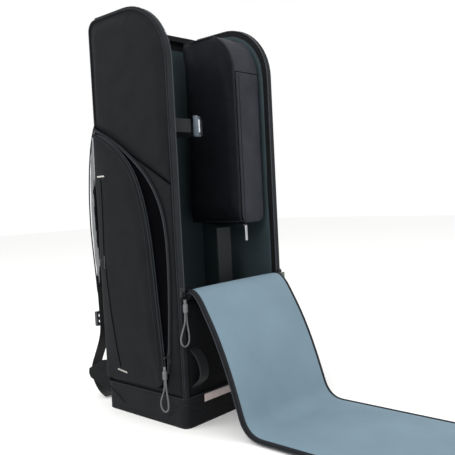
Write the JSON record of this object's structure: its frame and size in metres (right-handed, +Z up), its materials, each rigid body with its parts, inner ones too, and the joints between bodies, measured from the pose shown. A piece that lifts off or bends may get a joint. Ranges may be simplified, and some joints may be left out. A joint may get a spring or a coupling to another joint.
{
  "type": "telescope carry case",
  "caption": "Tall padded backpack case for a tube telescope, with a fold-down zipped front flap, side pocket, strapped tube bay and hanging accessory pouch.",
  "frame": {"origin": "middle of the base cover's underside, on the surface the case stands on", "axes": "+Z up, the opening faces -Y, the wearer's back faces +Y, +X to the right of a person facing the opening"},
  "size_m": [0.35, 0.8039, 0.7575],
  "materials": {
    "base_fabric": "tight rugged nylon, dark charcoal, matt",
    "stiff_board": "pressed stiffener board, matt",
    "foam": "closed cell foam under brushed fabric, matt",
    "wall_fabric": "padded woven polyester, black, matt",
    "outer_fabric": "fine woven polyester, charcoal, matt with a faint sheen",
    "lining": "brushed tricot lining, dark teal",
    "zip_tape": "woven zip tape with nylon coil teeth",
    "reflective": "reflective tape, pale pink grey, satin",
    "webbing": "ribbed polypropylene webbing, dark grey",
    "side_webbing": "ribbed webbing tab, green grey",
    "slider_metal": "die cast zip slider, black",
    "pull_grey": "moulded rubber barrel, grey",
    "pull_cord": "braided cord, grey",
    "air_mesh": "spacer mesh padding, grey",
    "strap_pad": "padded strap, black fabric over grey mesh",
    "buckle_black": "acetal moulding, black, fine texture",
    "buckle_blue_grey": "acetal moulding, blue grey, satin",
    "pouch_fabric": "padded woven polyester, dark grey",
    "puller_metal": "die cast puller, grey, satin",
    "flap_padded": "padded flap: blue grey brushed lining inside, black polyester outside"
  },
  "bodies": {
    "case": {"base_cover": "base_fabric", "base_board": "stiff_board", "foam_bed": "foam", "left_wall": "wall_fabric", "right_wall": "wall_fabric", "back_panel": "wall_fabric", "left_upper_skin": "outer_fabric", "left_lower_skin": "outer_fabric", "right_upper_skin": "outer_fabric", "right_lower_skin": "outer_fabric", "inner_lining": "lining", "front_panel": "wall_fabric", "left_rim_zip": "zip_tape", "right_rim_zip": "zip_tape", "reflective_strip": "reflective", "front_grab_loop": "webbing", "right_side_tab": "side_webbing", "pocket_gusset": "wall_fabric", "back_pad": "air_mesh", "lumbar_pad": "air_mesh", "left_shoulder_strap": "strap_pad", "right_shoulder_strap": "strap_pad", "left_strap_webbing": "webbing", "right_strap_webbing": "webbing", "left_strap_wing": "wall_fabric", "right_strap_wing": "wall_fabric", "tube_strap_left": "webbing", "buckle_socket": "buckle_blue_grey", "tube_strap_anchor": "webbing", "pouch_webbing": "webbing"},
    "flap_1": {"flap_fold": "flap_padded"},
    "flap_2": {"flap_panel_1": "flap_padded"},
    "flap_3": {"flap_panel_2": "flap_padded"},
    "flap_4": {"flap_panel_3": "flap_padded"},
    "flap_5": {"flap_panel_4": "flap_padded"},
    "flap_6": {"flap_panel_5": "flap_padded"},
    "flap_7": {"flap_panel_6": "flap_padded"},
    "left_slider": {"left_slider": "slider_metal"},
    "right_slider": {"right_slider": "slider_metal"},
    "left_pull": {"left_pull_barrel": "pull_grey", "left_pull_cord": "pull_cord"},
    "right_pull": {"right_pull_barrel": "pull_grey", "right_pull_cord": "pull_cord"},
    "pocket_slider": {"pocket_slider": "slider_metal"},
    "pocket_pull": {"pocket_pull_barrel": "pull_grey", "pocket_pull_cord": "pull_cord"},
    "pocket_panel": {"pocket_panel": "outer_fabric"},
    "grab_handle": {"grab_handle": "webbing"},
    "left_lock": {"left_ladder_lock": "buckle_black"},
    "right_lock": {"right_ladder_lock": "buckle_black"},
    "strap_end": {"buckle_plug": "buckle_black", "tube_strap_right": "webbing"},
    "pouch": {"pouch_body": "pouch_fabric"},
    "pouch_lid": {"pouch_lid": "pouch_fabric"},
    "pouch_slider": {"pouch_slider": "slider_metal"},
    "pouch_puller": {"pouch_puller": "puller_metal"}
  },
  "joints": [
    {"name": "flap_close", "type": "hinge", "parent": "case", "child": "flap_1", "pos_m": [0, -0.103, 0.238], "axis": [-1, 0, 0], "range_deg": [0, 75]},
    {"name": "flap_bend_1", "type": "hinge", "parent": "flap_1", "child": "flap_2", "pos_m": [0, -0.12811, 0.24473], "axis": [-1, 0, 0], "range_deg": [0, 75]},
    {"name": "flap_bend_2", "type": "hinge", "parent": "flap_2", "child": "flap_3", "pos_m": [0, -0.18561, 0.14514], "axis": [-1, 0, 0], "range_deg": [0, 12]},
    {"name": "flap_bend_3", "type": "hinge", "parent": "flap_3", "child": "flap_4", "pos_m": [0, -0.23098, 0.0055], "axis": [-1, 0, 0], "range_deg": [-72, 0]},
    {"name": "flap_bend_4", "type": "hinge", "parent": "flap_4", "child": "flap_5", "pos_m": [0, -0.35116, 0.0055], "axis": [-1, 0, 0], "range_deg": [0, 22.5]},
    {"name": "flap_bend_5", "type": "hinge", "parent": "flap_5", "child": "flap_6", "pos_m": [0, -0.43153, 0.0055], "axis": [-1, 0, 0], "range_deg": [0, 45]},
    {"name": "flap_bend_6", "type": "hinge", "parent": "flap_6", "child": "flap_7", "pos_m": [0, -0.51189, 0.0055], "axis": [-1, 0, 0], "range_deg": [0, 22.5]},
    {"name": "left_zip_slide", "type": "slide", "parent": "case", "child": "left_slider", "axis": [0, 0, 1], "range_m": [0, 0.39]},
    {"name": "right_zip_slide", "type": "slide", "parent": "case", "child": "right_slider", "axis": [0, 0, 1], "range_m": [0, 0.39]},
    {"name": "left_pull_swing", "type": "hinge", "parent": "left_slider", "child": "left_pull", "pos_m": [-0.139, -0.117, 0.238], "axis": [-1, 0, 0], "range_deg": [0, 100]},
    {"name": "right_pull_swing", "type": "hinge", "parent": "right_slider", "child": "right_pull", "pos_m": [0.139, -0.117, 0.238], "axis": [-1, 0, 0], "range_deg": [0, 100]},
    {"name": "pocket_zip_slide", "type": "slide", "parent": "case", "child": "pocket_slider", "axis": [0, 0.0995, 0.995], "range_m": [0, 0.15]},
    {"name": "pocket_pull_swing", "type": "hinge", "parent": "pocket_slider", "child": "pocket_pull", "pos_m": [-0.159, -0.076, 0.118], "axis": [0, 1, 0], "range_deg": [0, 100]},
    {"name": "pocket_open", "type": "hinge", "parent": "case", "child": "pocket_panel", "pos_m": [-0.152, 0.102, 0.3], "axis": [0, 0, 1], "range_deg": [-18, 0]},
    {"name": "grab_handle_lift", "type": "hinge", "parent": "case", "child": "grab_handle", "pos_m": [0, 0.113, 0.712], "axis": [1, 0, 0], "range_deg": [0, 80]},
    {"name": "left_lock_tilt", "type": "hinge", "parent": "case", "child": "left_lock", "pos_m": [-0.1055, 0.1694, 0.182], "axis": [1, 0, 0], "range_deg": [0, 30]},
    {"name": "right_lock_tilt", "type": "hinge", "parent": "case", "child": "right_lock", "pos_m": [0.1055, 0.1694, 0.182], "axis": [1, 0, 0], "range_deg": [0, 30]},
    {"name": "buckle_release", "type": "slide", "parent": "case", "child": "strap_end", "axis": [-0.8387, -0.5446, 0], "range_m": [-0.022, 0]},
    {"name": "pouch_lift_out", "type": "slide", "parent": "case", "child": "pouch", "axis": [0, 1, 0], "range_m": [-0.2, 0]},
    {"name": "pouch_lid_open", "type": "hinge", "parent": "pouch", "child": "pouch_lid", "pos_m": [0.122, -0.089, 0.51], "axis": [0, 0, -1], "range_deg": [-75, 0]},
    {"name": "pouch_zip_slide", "type": "slide", "parent": "pouch", "child": "pouch_slider", "axis": [1, 0, 0], "range_m": [0, 0.04]},
    {"name": "pouch_puller_swing", "type": "hinge", "parent": "pouch_slider", "child": "pouch_puller", "pos_m": [0.062, -0.0923, 0.3465], "axis": [1, 0, 0], "range_deg": [-80, 0]}
  ],
  "couplings": [
    {"joint": "flap_bend_1", "follows": "flap_close", "ratio": 1},
    {"joint": "flap_bend_2", "follows": "flap_close", "ratio": 0.16},
    {"joint": "flap_bend_3", "follows": "flap_close", "ratio": -0.96},
    {"joint": "flap_bend_4", "follows": "flap_close", "ratio": 0.3},
    {"joint": "flap_bend_5", "follows": "flap_close", "ratio": 0.6},
    {"joint": "flap_bend_6", "follows": "flap_close", "ratio": 0.3},
    {"joint": "left_zip_slide", "follows": "flap_close", "m_per_rad": 0.2979},
    {"joint": "right_zip_slide", "follows": "flap_close", "m_per_rad": 0.2979}
  ]
}
